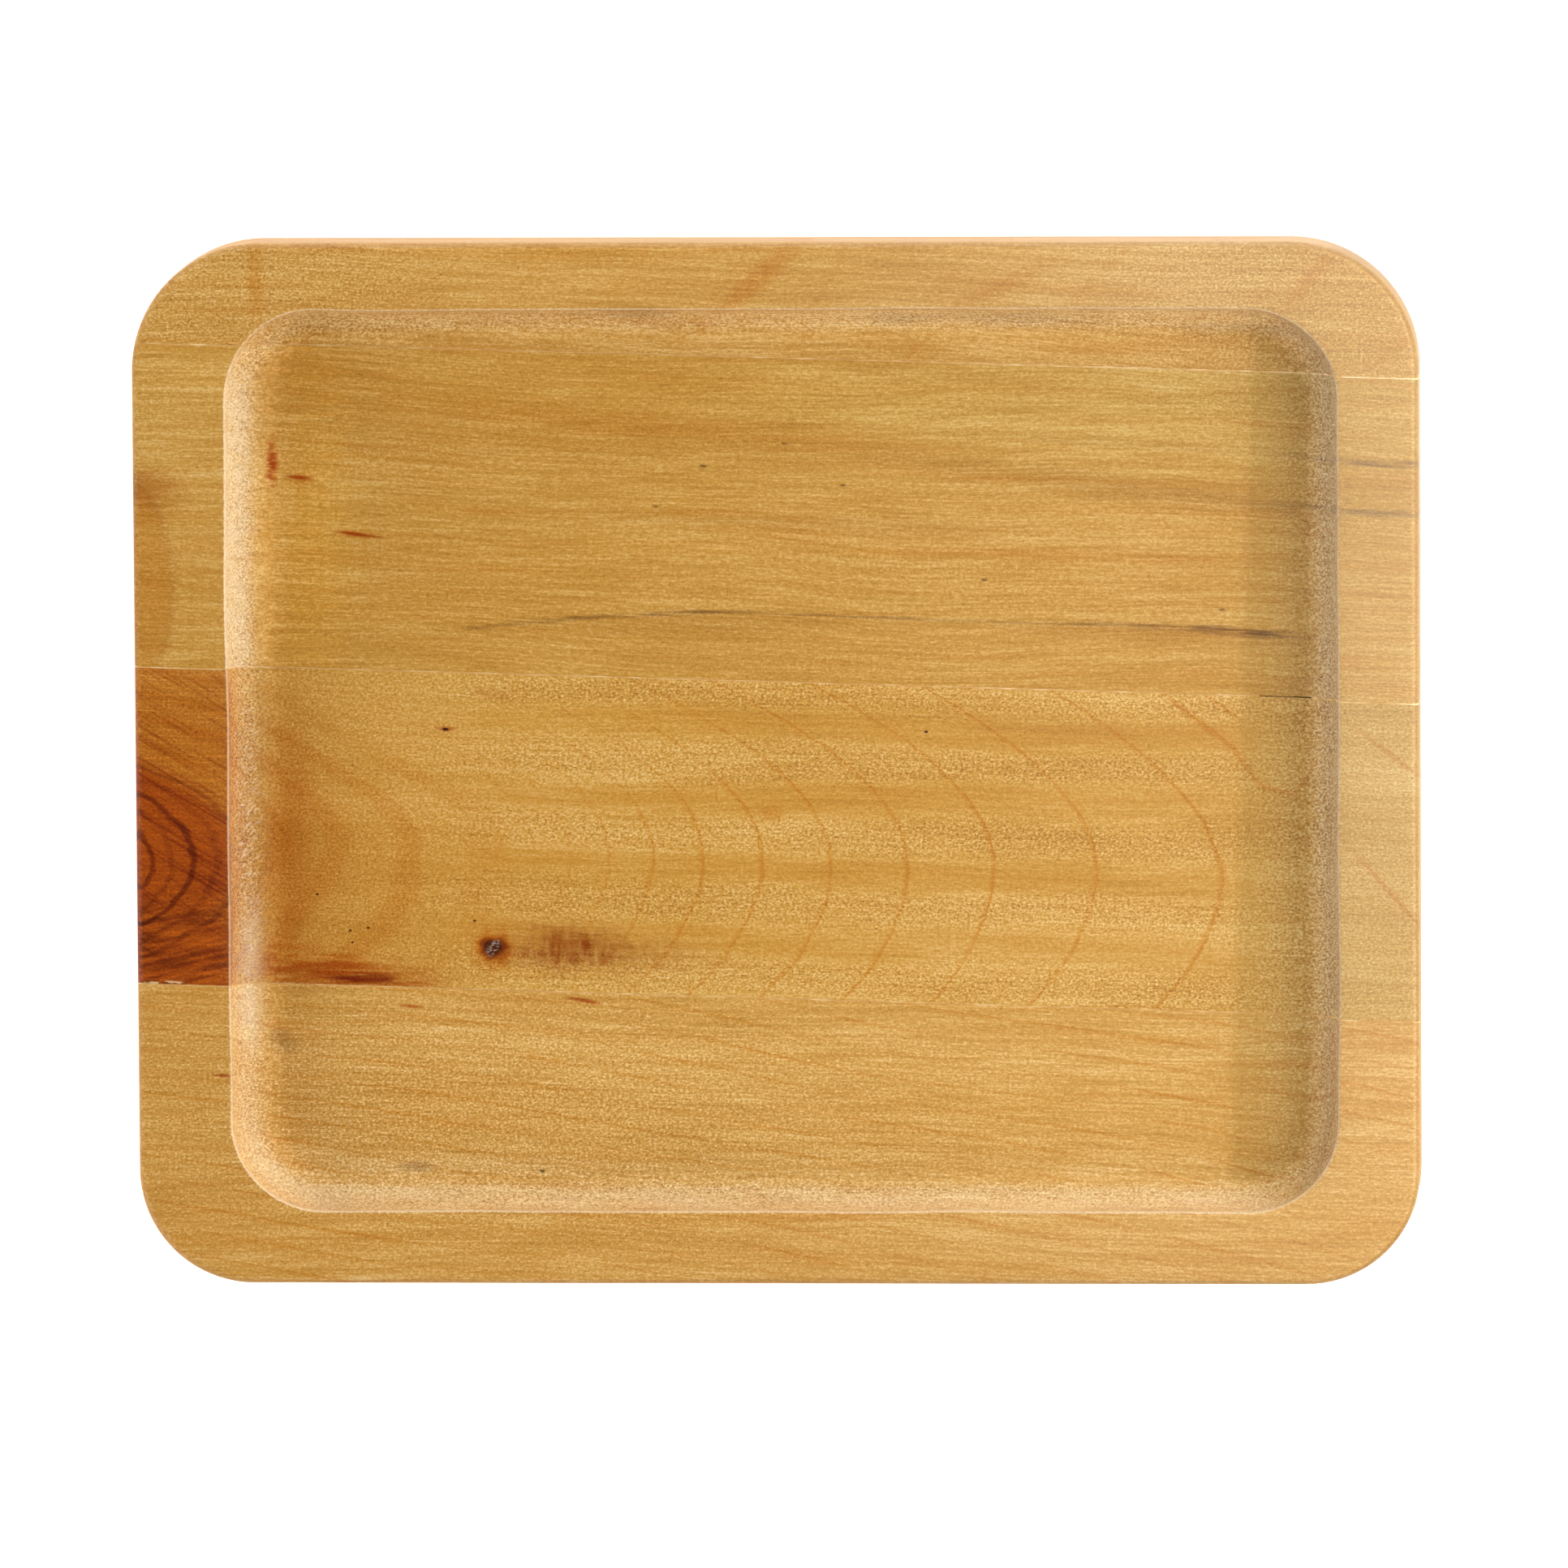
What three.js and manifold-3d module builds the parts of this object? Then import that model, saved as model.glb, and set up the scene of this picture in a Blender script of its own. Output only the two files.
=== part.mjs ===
// A small solid-wood serving tray: four staves edge-glued into one panel, with a coved well
// routed into its top. Millimetres. +X is the long way, +Y the far side and +Z is up.
// The origin is the middle of the underside.
import * as THREE from "three";
import { mergeVertices } from "three/addons/utils/BufferGeometryUtils.js";
import Module from "manifold-3d";

const wasm = await Module();
wasm.setup();

// Driving dimensions of the panel.
const panelLength = 280;
const panelWidth = 228;
const panelThickness = 18;
const farCornerRadius = 28;
const nearCornerRadius = 25;
const topEdgeRadius = 1.8;
const bottomEdgeRadius = 1.2;

// Driving dimensions of the well. The cove is wider at the two ends than along the sides.
const wellDepth = 8.5;
const rim = { left: 20.4, right: 17.6, near: 16.1, far: 14.6 };
const cove = { left: 11.6, right: 10.6, near: 8, far: 8 };
const wellCornerRadius = 20;
const lipRadius = 0.6;

// The joints run across the panel at a small angle, and cross its middle at these heights in Y.
const jointAngle = THREE.MathUtils.degToRad(-1.7);
const jointPlaces = { far: 88.2, middle: 17.4, near: -52.1 };
const glueThickness = 0.3;
const glueClearance = 0.05;

// A short starved stretch, where the middle glue line has drawn down and left the seam open.
const openSeam = { start: 104.5, end: 116, depth: 1.2 };

// How finely the round stretches are cut.
const cornerSteps = 14;
const edgeSteps = 4;
const lipSteps = 2;
const coveSteps = 8;

// How far a cutting solid runs past what it cuts.
const overrun = 10;

const halfLength = panelLength / 2;
const halfWidth = panelWidth / 2;
const floorHeight = panelThickness - wellDepth;
const wallTop = panelThickness - lipRadius;

// One round corner of an outline, as an arc about its own centre.
function cornerArc(centreX, centreY, radiusX, radiusY, quarter) {
  const start = quarter * Math.PI / 2;
  return new THREE.EllipseCurve(centreX, centreY, radiusX, radiusY, start, start + Math.PI / 2)
    .getPoints(cornerSteps);
}

// The panel's outline, anticlockwise from above, drawn in by inset all round.
function panelOutline(inset) {
  const far = farCornerRadius - inset;
  const near = nearCornerRadius - inset;
  const farX = halfLength - farCornerRadius;
  const farY = halfWidth - farCornerRadius;
  const nearX = halfLength - nearCornerRadius;
  const nearY = nearCornerRadius - halfWidth;
  return [
    ...cornerArc(farX, farY, far, far, 0),
    ...cornerArc(-farX, farY, far, far, 1),
    ...cornerArc(-nearX, nearY, near, near, 2),
    ...cornerArc(nearX, nearY, near, near, 3),
  ];
}

// The well's outline, spread outwards and then drawn in by a share of each side's cove.
function wellOutline(spread, share) {
  const radius = wellCornerRadius + spread;
  const leftX = rim.left + wellCornerRadius - halfLength;
  const rightX = halfLength - rim.right - wellCornerRadius;
  const nearY = rim.near + wellCornerRadius - halfWidth;
  const farY = halfWidth - rim.far - wellCornerRadius;
  const left = radius - share * cove.left;
  const right = radius - share * cove.right;
  const near = radius - share * cove.near;
  const far = radius - share * cove.far;
  return [
    ...cornerArc(rightX, farY, right, far, 0),
    ...cornerArc(leftX, farY, left, far, 1),
    ...cornerArc(leftX, nearY, left, near, 2),
    ...cornerArc(rightX, nearY, right, near, 3),
  ];
}

// Adds a flat cap over one level of a loft. An upward cap keeps the outline's own turn.
function capTriangles(outline, firstIndex, upward) {
  return THREE.ShapeUtils.triangulateShape(outline, []).flatMap(([a, b, c]) => {
    const corners = upward ? [a, b, c] : [a, c, b];
    return corners.map((corner) => firstIndex + corner);
  });
}

// A closed solid skinned through level outlines, lowest first, each with as many points.
function loft(levels) {
  const count = levels[0].outline.length;
  const positions = levels.flatMap(({ outline, height }) => outline.flatMap(({ x, y }) => [x, y, height]));
  const triangles = capTriangles(levels[0].outline, 0, false);
  for (let level = 1; level < levels.length; level += 1) {
    for (let point = 0; point < count; point += 1) {
      const below = (level - 1) * count + point;
      const belowNext = (level - 1) * count + (point + 1) % count;
      triangles.push(below, belowNext, belowNext + count, below, belowNext + count, below + count);
    }
  }
  triangles.push(...capTriangles(levels.at(-1).outline, (levels.length - 1) * count, true));
  return new wasm.Manifold(new wasm.Mesh({
    numProp: 3,
    vertProperties: new Float32Array(positions),
    triVerts: new Uint32Array(triangles),
  }));
}

// A box solid whose own frame lies along the joints, from its low to its high corner.
function boxAlongJoints(low, high) {
  const size = high.map((value, axis) => value - low[axis]);
  const box = new THREE.BoxGeometry(...size);
  box.translate(...high.map((value, axis) => (value + low[axis]) / 2));
  box.rotateZ(jointAngle);
  return solidFromGeometry(box);
}

// A three.js geometry as a solid, with the corners that its faces share made one.
function solidFromGeometry(geometry) {
  geometry.deleteAttribute("normal");
  geometry.deleteAttribute("uv");
  const merged = mergeVertices(geometry);
  return new wasm.Manifold(new wasm.Mesh({
    numProp: 3,
    vertProperties: merged.getAttribute("position").array,
    triVerts: new Uint32Array(merged.index.array),
  }));
}

// The panel before it is routed, with its edges rounded over, above and below.
function panelBlank() {
  const levels = [];
  for (let step = 0; step <= edgeSteps; step += 1) {
    const turn = step / edgeSteps * Math.PI / 2;
    levels.push({
      outline: panelOutline(bottomEdgeRadius * (1 - Math.sin(turn))),
      height: bottomEdgeRadius * (1 - Math.cos(turn)),
    });
  }
  for (let step = 0; step <= edgeSteps; step += 1) {
    const turn = step / edgeSteps * Math.PI / 2;
    levels.push({
      outline: panelOutline(topEdgeRadius * (1 - Math.cos(turn))),
      height: panelThickness - topEdgeRadius * (1 - Math.sin(turn)),
    });
  }
  return loft(levels);
}

// What the router takes out: a flat floor, coved walls, and a lip eased over onto the rim.
function wellCutter() {
  const levels = [];
  for (let step = 0; step <= coveSteps; step += 1) {
    const turn = step / coveSteps * Math.PI / 2;
    levels.push({
      outline: wellOutline(0, 1 - Math.sin(turn)),
      height: wallTop - (wallTop - floorHeight) * Math.cos(turn),
    });
  }
  for (let step = 1; step <= lipSteps; step += 1) {
    const turn = step / lipSteps * Math.PI / 2;
    levels.push({
      outline: wellOutline(lipRadius * (1 - Math.cos(turn)), 0),
      height: wallTop + lipRadius * Math.sin(turn),
    });
  }
  levels.push({ outline: wellOutline(lipRadius, 0), height: panelThickness + overrun });
  return loft(levels);
}

const panel = panelBlank().subtract(wellCutter());
const reachX = halfLength + overrun;
const reachY = halfWidth + overrun;
const reachZ = panelThickness + overrun;

// What a saw would leave of the panel between two lines that run along the joints.
function panelBetween(nearLine, farLine) {
  return panel.intersect(boxAlongJoints([-reachX, nearLine, -overrun], [reachX, farLine, reachZ]));
}

// The film of cured glue in one joint.
function glueFilm(place) {
  return panelBetween(place - glueThickness / 2, place + glueThickness / 2);
}

// The middle film has the open stretch cut down into it, below the well's floor.
function middleGlueFilm() {
  const place = jointPlaces.middle;
  const cutter = boxAlongJoints(
    [openSeam.start, place - glueThickness, floorHeight - openSeam.depth],
    [openSeam.end, place + glueThickness, reachZ],
  );
  return glueFilm(place).subtract(cutter);
}

// A solid as a named mesh with its own finish.
function namedMesh(name, solid, finish) {
  const { numProp, vertProperties, triVerts } = solid.getMesh();
  const geometry = new THREE.BufferGeometry();
  geometry.setAttribute("position", new THREE.BufferAttribute(vertProperties, numProp));
  geometry.setIndex(new THREE.BufferAttribute(triVerts, 1));
  geometry.computeVertexNormals();
  const mesh = new THREE.Mesh(geometry, new THREE.MeshStandardMaterial({ metalness: 0, ...finish }));
  mesh.name = name;
  return mesh;
}

const group = new THREE.Group();
const halfJoint = glueThickness / 2 + glueClearance;

// Each stave fills the panel from one joint to the next.
const staves = [
  { name: "far_rim_stave", near: jointPlaces.far + halfJoint, far: reachY, color: 0xcf9d58 },
  {
    name: "far_middle_stave",
    near: jointPlaces.middle + halfJoint,
    far: jointPlaces.far - halfJoint,
    color: 0xd0984d,
  },
  {
    name: "near_middle_stave",
    near: jointPlaces.near + halfJoint,
    far: jointPlaces.middle - halfJoint,
    color: 0xc58a42,
  },
  { name: "near_rim_stave", near: -reachY, far: jointPlaces.near - halfJoint, color: 0xd2a05a },
];
for (const { name, near, far, color } of staves) {
  group.add(namedMesh(name, panelBetween(near, far), { color, roughness: 0.42 }));
}

const glueFinish = { color: 0xe3c48c, roughness: 0.5 };
group.add(namedMesh("far_glue_line", glueFilm(jointPlaces.far), glueFinish));
group.add(namedMesh("middle_glue_line", middleGlueFilm(), glueFinish));
group.add(namedMesh("near_glue_line", glueFilm(jointPlaces.near), glueFinish));

export default group;
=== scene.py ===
"""The looks of a small solid-wood serving tray: four glued staves and the three glue lines between them.

Metres throughout, in the frame's own axes: +X along the tray, +Y its far side, +Z up.
"""
import math

import bmesh
import bpy
from mathutils import Matrix, Vector, noise
from mathutils.geometry import delaunay_2d_cdt


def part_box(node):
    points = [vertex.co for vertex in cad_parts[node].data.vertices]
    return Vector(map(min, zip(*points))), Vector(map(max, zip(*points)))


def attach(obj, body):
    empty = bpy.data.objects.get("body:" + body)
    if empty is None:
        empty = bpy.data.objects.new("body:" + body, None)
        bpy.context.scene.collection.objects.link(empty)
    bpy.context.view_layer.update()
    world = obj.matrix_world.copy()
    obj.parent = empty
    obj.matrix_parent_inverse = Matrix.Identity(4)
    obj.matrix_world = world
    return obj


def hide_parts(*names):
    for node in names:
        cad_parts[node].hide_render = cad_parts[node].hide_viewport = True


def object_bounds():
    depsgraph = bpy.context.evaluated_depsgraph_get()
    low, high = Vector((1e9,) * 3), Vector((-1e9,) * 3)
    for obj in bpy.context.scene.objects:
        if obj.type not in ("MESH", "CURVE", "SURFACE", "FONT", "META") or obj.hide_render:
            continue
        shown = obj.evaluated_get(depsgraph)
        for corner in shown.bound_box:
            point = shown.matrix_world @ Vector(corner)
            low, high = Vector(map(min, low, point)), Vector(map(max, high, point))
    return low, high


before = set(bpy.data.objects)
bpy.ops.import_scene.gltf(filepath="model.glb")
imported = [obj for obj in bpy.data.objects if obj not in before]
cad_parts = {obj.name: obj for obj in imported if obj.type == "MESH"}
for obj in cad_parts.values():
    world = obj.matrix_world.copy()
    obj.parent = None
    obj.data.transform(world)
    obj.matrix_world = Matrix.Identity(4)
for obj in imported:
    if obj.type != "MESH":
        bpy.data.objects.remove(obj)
cad_low, cad_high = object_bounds()

MM = 0.001

# The panel and its well: the outer size is the frame's, and the rest is as the part is cut.
HALF_LENGTH = (cad_high.x - cad_low.x) / 2
HALF_WIDTH = (cad_high.y - cad_low.y) / 2
RIM_HEIGHT = cad_high.z
FAR_CORNER = 28 * MM
NEAR_CORNER = 25 * MM
TOP_EDGE = 1.8 * MM
BOTTOM_EDGE = 1.2 * MM
RIM = {"left": 20.4 * MM, "right": 17.6 * MM, "near": 16.1 * MM, "far": 14.6 * MM}
COVE = {"left": 11.6 * MM, "right": 10.6 * MM, "near": 8 * MM, "far": 8 * MM}
WELL_CORNER = 20 * MM
LIP = 0.6 * MM
FLOOR_HEIGHT = RIM_HEIGHT - 8.5 * MM
WALL_TOP = RIM_HEIGHT - LIP

# The joints, and the grain with them, run at a small angle to the tray's length.
JOINT_ANGLE = math.radians(-1.7)
ALONG = Vector((math.cos(JOINT_ANGLE), math.sin(JOINT_ANGLE), 0))
ACROSS = Vector((-math.sin(JOINT_ANGLE), math.cos(JOINT_ANGLE), 0))
GLUE = 0.3 * MM

# How finely the round and straight stretches are cut.
CORNER_STEPS = 20
SIDE_STEPS = 48
EDGE_STEPS = 6
WALL_STEPS = 3
RIM_STEPS = 3
LIP_STEPS = 4
COVE_STEPS = 16
FLAT_SPACING = 5 * MM

# Edges that turn by more than this many degrees are shaded as sharp ones.
SHARP_TURN = 40

# How far the hand sander let the lip and the outer edge wander, over what length, and the seed that
# makes it the same wander on each run.
LIP_WANDER = 0.4 * MM
EDGE_WANDER = 0.12 * MM
WANDER_LENGTH = 28 * MM
WANDER_SEED = 39

# How closely cuts keep to their planes, and how near two points have to be to become one.
CUT_TOLERANCE = 1e-7
WELD_DISTANCE = 1e-6

# The knot in the near middle stave, as (along, across), and the pit in its middle.
KNOT = (-61.4 * MM, -42.9 * MM)
KNOT_PIT = 0.28 * MM

# The curly bands of the near middle stave: where one lies across the joints, and how far apart they are.
BAND_PLACE = 7.4 * MM
BAND_PITCH = 15.7 * MM

# The glue lines, nearest first.
GLUE_LINES = ("near_glue_line", "middle_glue_line", "far_glue_line")

# The stretch where the middle glue line is open, how deep it is, and how steeply it starts and ends.
OPEN_SEAM = (104.5 * MM, 116 * MM)
SEAM_DEPTH = 1.2 * MM
SEAM_RAMP = 0.5 * MM


def place(along, across):
    """Where a spot measured along and across the joints is, in the tray's X and Y."""
    return ALONG * along + ACROSS * across


# ---------------------------------------------------------------- the panel's shape

def closed_outline(corners):
    """A closed outline through four round corners, each (centre x, centre y, radius x, radius y)."""
    points = []
    arcs = []
    for quarter, (x, y, radius_x, radius_y) in enumerate(corners):
        turns = [(quarter + step / CORNER_STEPS) * math.pi / 2 for step in range(CORNER_STEPS + 1)]
        arcs.append([Vector((x + radius_x * math.cos(t), y + radius_y * math.sin(t))) for t in turns])
    for quarter, arc in enumerate(arcs):
        points += arc
        start, end = arc[-1], arcs[(quarter + 1) % 4][0]
        points += [start.lerp(end, step / SIDE_STEPS) for step in range(1, SIDE_STEPS)]
    return points


def wander(points, amount, seed):
    """Moves points a little, as a hand-held sander does."""
    moved = []
    for point in points:
        drift = noise.noise_vector(Vector((point.x, point.y, 0)) / WANDER_LENGTH + Vector((0, 0, seed)))
        moved.append(point + drift.to_2d() * amount)
    return moved


def panel_outline(inset):
    """The panel's outline, drawn in by inset all round."""
    far, near = FAR_CORNER - inset, NEAR_CORNER - inset
    far_x, far_y = HALF_LENGTH - FAR_CORNER, HALF_WIDTH - FAR_CORNER
    near_x, near_y = HALF_LENGTH - NEAR_CORNER, HALF_WIDTH - NEAR_CORNER
    return closed_outline([
        (far_x, far_y, far, far),
        (-far_x, far_y, far, far),
        (-near_x, -near_y, near, near),
        (near_x, -near_y, near, near),
    ])


def well_outline(spread, share):
    """The well's outline, spread outwards, then drawn in by a share of each side's cove."""
    radius = WELL_CORNER + spread
    left_x = RIM["left"] + WELL_CORNER - HALF_LENGTH
    right_x = HALF_LENGTH - RIM["right"] - WELL_CORNER
    near_y = RIM["near"] + WELL_CORNER - HALF_WIDTH
    far_y = HALF_WIDTH - RIM["far"] - WELL_CORNER
    left, right, near, far = (radius - share * COVE[side] for side in ("left", "right", "near", "far"))
    outline = closed_outline([
        (right_x, far_y, right, far),
        (left_x, far_y, left, far),
        (left_x, near_y, left, near),
        (right_x, near_y, right, near),
    ])
    return wander(outline, LIP_WANDER * (1 - share), seed=3)


def quarter_turns(steps):
    """Even steps from 0 to a quarter turn, in radians."""
    return [step / steps * math.pi / 2 for step in range(steps + 1)]


def panel_rings():
    """The panel's level rings, from the edge of the underside round to the edge of the floor."""
    rings = []
    for turn in quarter_turns(EDGE_STEPS):
        inset = BOTTOM_EDGE * (1 - math.sin(turn))
        rings.append((panel_outline(inset), BOTTOM_EDGE * (1 - math.cos(turn))))
    for step in range(1, WALL_STEPS):
        share = step / WALL_STEPS
        height = BOTTOM_EDGE + share * (RIM_HEIGHT - TOP_EDGE - BOTTOM_EDGE)
        rings.append((panel_outline(0), height))
    for turn in quarter_turns(EDGE_STEPS):
        inset = TOP_EDGE * (1 - math.cos(turn))
        outline = wander(panel_outline(inset), EDGE_WANDER * math.sin(turn), seed=11)
        rings.append((outline, RIM_HEIGHT - TOP_EDGE * (1 - math.sin(turn))))
    rim_edge = rings[-1][0]
    lip_edge = well_outline(LIP, 0)
    for step in range(1, RIM_STEPS):
        between = [a.lerp(b, step / RIM_STEPS) for a, b in zip(rim_edge, lip_edge)]
        rings.append((between, RIM_HEIGHT))
    for turn in reversed(quarter_turns(LIP_STEPS)):
        rings.append((well_outline(LIP * (1 - math.cos(turn)), 0), WALL_TOP + LIP * math.sin(turn)))
    for turn in quarter_turns(COVE_STEPS)[1:]:
        height = WALL_TOP - (WALL_TOP - FLOOR_HEIGHT) * math.sin(turn)
        rings.append((well_outline(0, 1 - math.cos(turn)), height))
    return rings


def grid_inside(low, high, margin):
    """Grid points inside a box, kept off its edges by margin."""
    columns = int((high.x - low.x - 2 * margin) / FLAT_SPACING)
    rows = int((high.y - low.y - 2 * margin) / FLAT_SPACING)
    return [
        Vector((low.x + margin + column * FLAT_SPACING, low.y + margin + row * FLAT_SPACING))
        for column in range(columns + 1) for row in range(rows + 1)
    ]


def inside(point, outline, margin):
    """Whether a point is inside a convex outline by at least margin."""
    for start, end in zip(outline, outline[1:] + outline[:1]):
        side = end - start
        if side.length > 0 and side.cross(point - start) / side.length < margin:
            return False
    return True


def knot_points():
    """Rings of points round the knot, close enough together to hold its shape."""
    centre = place(*KNOT).to_2d()
    points = [centre]
    for radius, count in ((0.35, 8), (0.8, 12), (1.3, 16), (1.9, 18), (2.8, 18)):
        for step in range(count):
            turn = step / count * 2 * math.pi
            points.append(centre + Vector((math.cos(turn), math.sin(turn))) * radius * MM)
    return points


def floor_height(point):
    """The floor is flat but for the knot, which has shrunk a little below it."""
    away = (point - place(*KNOT).to_2d()).length / (0.9 * MM)
    crumble = 0.7 + 0.6 * noise.noise(Vector((point.x, point.y, 0)) / (0.6 * MM))
    return FLOOR_HEIGHT - KNOT_PIT * crumble * math.exp(-away ** 2)


def fill_flat(panel, ring, height_at, extra=()):
    """Fills a level ring of vertices with triangles on an even grid."""
    outline = [vertex.co.to_2d() for vertex in ring]
    low = Vector((min(p.x for p in outline), min(p.y for p in outline)))
    high = Vector((max(p.x for p in outline), max(p.y for p in outline)))
    margin = FLAT_SPACING * 0.6
    grid = [p for p in grid_inside(low, high, margin) if inside(p, outline, margin)]
    if extra:
        grid = [p for p in grid if (p - extra[0]).length > FLAT_SPACING]
    count = len(outline)
    edges = [(i, (i + 1) % count) for i in range(count)]
    points, _, triangles, origins, _, _ = delaunay_2d_cdt(
        outline + grid + list(extra), edges, [], 1, CUT_TOLERANCE,
    )
    vertices = []
    for point, origin in zip(points, origins):
        on_ring = [index for index in origin if index < count]
        vertices.append(ring[on_ring[0]] if on_ring else panel.verts.new((*point, height_at(point))))
    for triangle in triangles:
        panel.faces.new([vertices[index] for index in triangle])


def panel_mesh():
    """The whole routed panel as one closed bmesh, before it is parted at the joints."""
    panel = bmesh.new()
    rings = [[panel.verts.new((*point, height)) for point in outline] for outline, height in panel_rings()]
    for lower, upper in zip(rings, rings[1:]):
        for i in range(len(lower)):
            j = (i + 1) % len(lower)
            panel.faces.new((lower[i], lower[j], upper[j], upper[i]))
    fill_flat(panel, rings[0], lambda point: 0)
    fill_flat(panel, rings[-1], floor_height, knot_points())
    bmesh.ops.recalc_face_normals(panel, faces=panel.faces)
    return panel


def saw(piece, line, keep_far):
    """Cuts a piece along a joint's line, keeps one side and closes the cut."""
    geometry = piece.verts[:] + piece.edges[:] + piece.faces[:]
    bmesh.ops.bisect_plane(
        piece, geom=geometry, dist=CUT_TOLERANCE, plane_co=ACROSS * line, plane_no=ACROSS,
        clear_inner=keep_far, clear_outer=not keep_far,
    )
    cut = [edge for edge in piece.edges if edge.is_boundary]
    closed = bmesh.ops.holes_fill(piece, edges=cut, sides=0)["faces"]
    bmesh.ops.triangulate(piece, faces=closed)


def open_the_seam(piece):
    """Draws the glue film's top edge down into the joint over its open stretch."""
    start, end = OPEN_SEAM
    for along in (start, start + SEAM_RAMP, end - SEAM_RAMP, end):
        geometry = piece.verts[:] + piece.edges[:] + piece.faces[:]
        bmesh.ops.bisect_plane(
            piece, geom=geometry, dist=CUT_TOLERANCE, plane_co=ALONG * along, plane_no=ALONG,
        )
    for vertex in piece.verts:
        along = vertex.co.dot(ALONG)
        depth = min(along - start, end - along) / SEAM_RAMP * SEAM_DEPTH
        if vertex.co.z > FLOOR_HEIGHT - WELD_DISTANCE and depth > 0:
            ragged = 0.75 + 0.5 * noise.noise(Vector((along / MM, 0, 0)))
            vertex.co.z = FLOOR_HEIGHT - min(depth, SEAM_DEPTH * ragged)


def add_piece(name, mesh_data, material, node):
    """Adds a cut piece as a smooth-shaded object that stands for its node of the frame."""
    bmesh.ops.remove_doubles(mesh_data, verts=mesh_data.verts, dist=WELD_DISTANCE)
    bmesh.ops.recalc_face_normals(mesh_data, faces=mesh_data.faces)
    mesh = bpy.data.meshes.new(name)
    mesh_data.to_mesh(mesh)
    mesh_data.free()
    for polygon in mesh.polygons:
        polygon.use_smooth = True
    mesh.set_sharp_from_angle(angle=math.radians(SHARP_TURN))
    mesh.materials.append(material)
    piece = bpy.data.objects.new(name, mesh)
    bpy.context.scene.collection.objects.link(piece)
    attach(piece, "root")
    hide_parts(node)


# ---------------------------------------------------------------- fields over a surface

class Field:
    """A number or a colour that varies over a surface: a shader node's output, with arithmetic on it."""

    def __init__(self, tree, socket):
        self.tree = tree
        self.socket = socket

    def math(self, operation, *others):
        node = self.tree.nodes.new("ShaderNodeMath")
        node.operation = operation
        for socket, value in zip(node.inputs, (self, *others)):
            feed(self.tree, socket, value)
        return Field(self.tree, node.outputs[0])

    def __add__(self, other):
        return self.math("ADD", other)

    def __sub__(self, other):
        return self.math("SUBTRACT", other)

    def __mul__(self, other):
        return self.math("MULTIPLY", other)

    def __truediv__(self, other):
        return self.math("DIVIDE", other)

    __rmul__ = __mul__

    def __rsub__(self, other):
        return self * -1 + other

    def wave(self, pitch):
        """A cosine of the field that repeats every pitch."""
        return (self * (2 * math.pi / pitch)).math("COSINE")

    def rise(self, low, high):
        """0 below low, 1 above high, and a smooth rise between them; high below low falls instead."""
        node = self.tree.nodes.new("ShaderNodeMapRange")
        node.interpolation_type = "SMOOTHSTEP"
        feed(self.tree, node.inputs["Value"], self)
        turned = high < low
        node.inputs["From Min"].default_value = min(low, high)
        node.inputs["From Max"].default_value = max(low, high)
        node.inputs["To Min"].default_value = 1 if turned else 0
        node.inputs["To Max"].default_value = 0 if turned else 1
        return Field(self.tree, node.outputs["Result"])


def feed(tree, socket, value):
    """Links a field to a socket, or sets the socket to a plain value."""
    if isinstance(value, Field):
        tree.links.new(value.socket, socket)
    else:
        socket.default_value = value


def length_of(first, second):
    """The length of a step with two square parts."""
    return (first * first + second * second).math("SQRT")


class Surface:
    """What the wood at each point of a surface depends on: its place in the stave, and its facing."""

    def __init__(self, tree, seed):
        self.tree = tree
        self.seed = seed
        position = tree.nodes.new("ShaderNodeTexCoord").outputs["Object"]
        self.along = self.dot(position, ALONG)
        self.across = self.dot(position, ACROSS)
        self.height = self.dot(position, Vector((0, 0, 1)))
        normal = tree.nodes.new("ShaderNodeNewGeometry").outputs["Normal"]
        self.forward = self.dot(normal, ALONG)
        self.end_grain = self.forward.math("ABSOLUTE")
        self.upward = self.dot(normal, Vector((0, 0, 1)))
        self.sideways = self.dot(normal, ACROSS)
        self.outward = self.forward * self.along + self.sideways * self.across

    def dot(self, socket, direction):
        node = self.tree.nodes.new("ShaderNodeVectorMath")
        node.operation = "DOT_PRODUCT"
        self.tree.links.new(socket, node.inputs[0])
        node.inputs[1].default_value = direction
        return Field(self.tree, node.outputs["Value"])

    def cloud(self, long, wide, seed, detail=1, bent=None):
        """Soft noise from about -1 to 1, in patches so long and so wide, that bend sideways with a field."""
        combine = self.tree.nodes.new("ShaderNodeCombineXYZ")
        shift = self.seed * 17.3 + seed * 5.1
        across = self.across if bent is None else self.across + bent
        feed(self.tree, combine.inputs[0], self.along / long + shift)
        feed(self.tree, combine.inputs[1], across / wide + shift)
        feed(self.tree, combine.inputs[2], self.height / wide)
        node = self.tree.nodes.new("ShaderNodeTexNoise")
        node.inputs["Scale"].default_value = 1
        node.inputs["Detail"].default_value = detail
        self.tree.links.new(combine.outputs[0], node.inputs["Vector"])
        return Field(self.tree, node.outputs["Fac"]) * 4 - 2

    def spot(self, along, across, long, wide, turn, soft, ragged):
        """1 inside an ellipse of half-sizes long and wide, turned by so many degrees, and 0 outside it.

        Its edge is soft over a share of its size, and a field makes it ragged.
        """
        cosine, sine = math.cos(math.radians(turn)), math.sin(math.radians(turn))
        from_along, from_across = self.along - along, self.across - across
        first = (from_along * cosine + from_across * sine) / long
        second = (from_across * cosine - from_along * sine) / wide
        away = length_of(first, second) + ragged
        return away.rise(1 + soft, 1 - soft)


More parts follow.
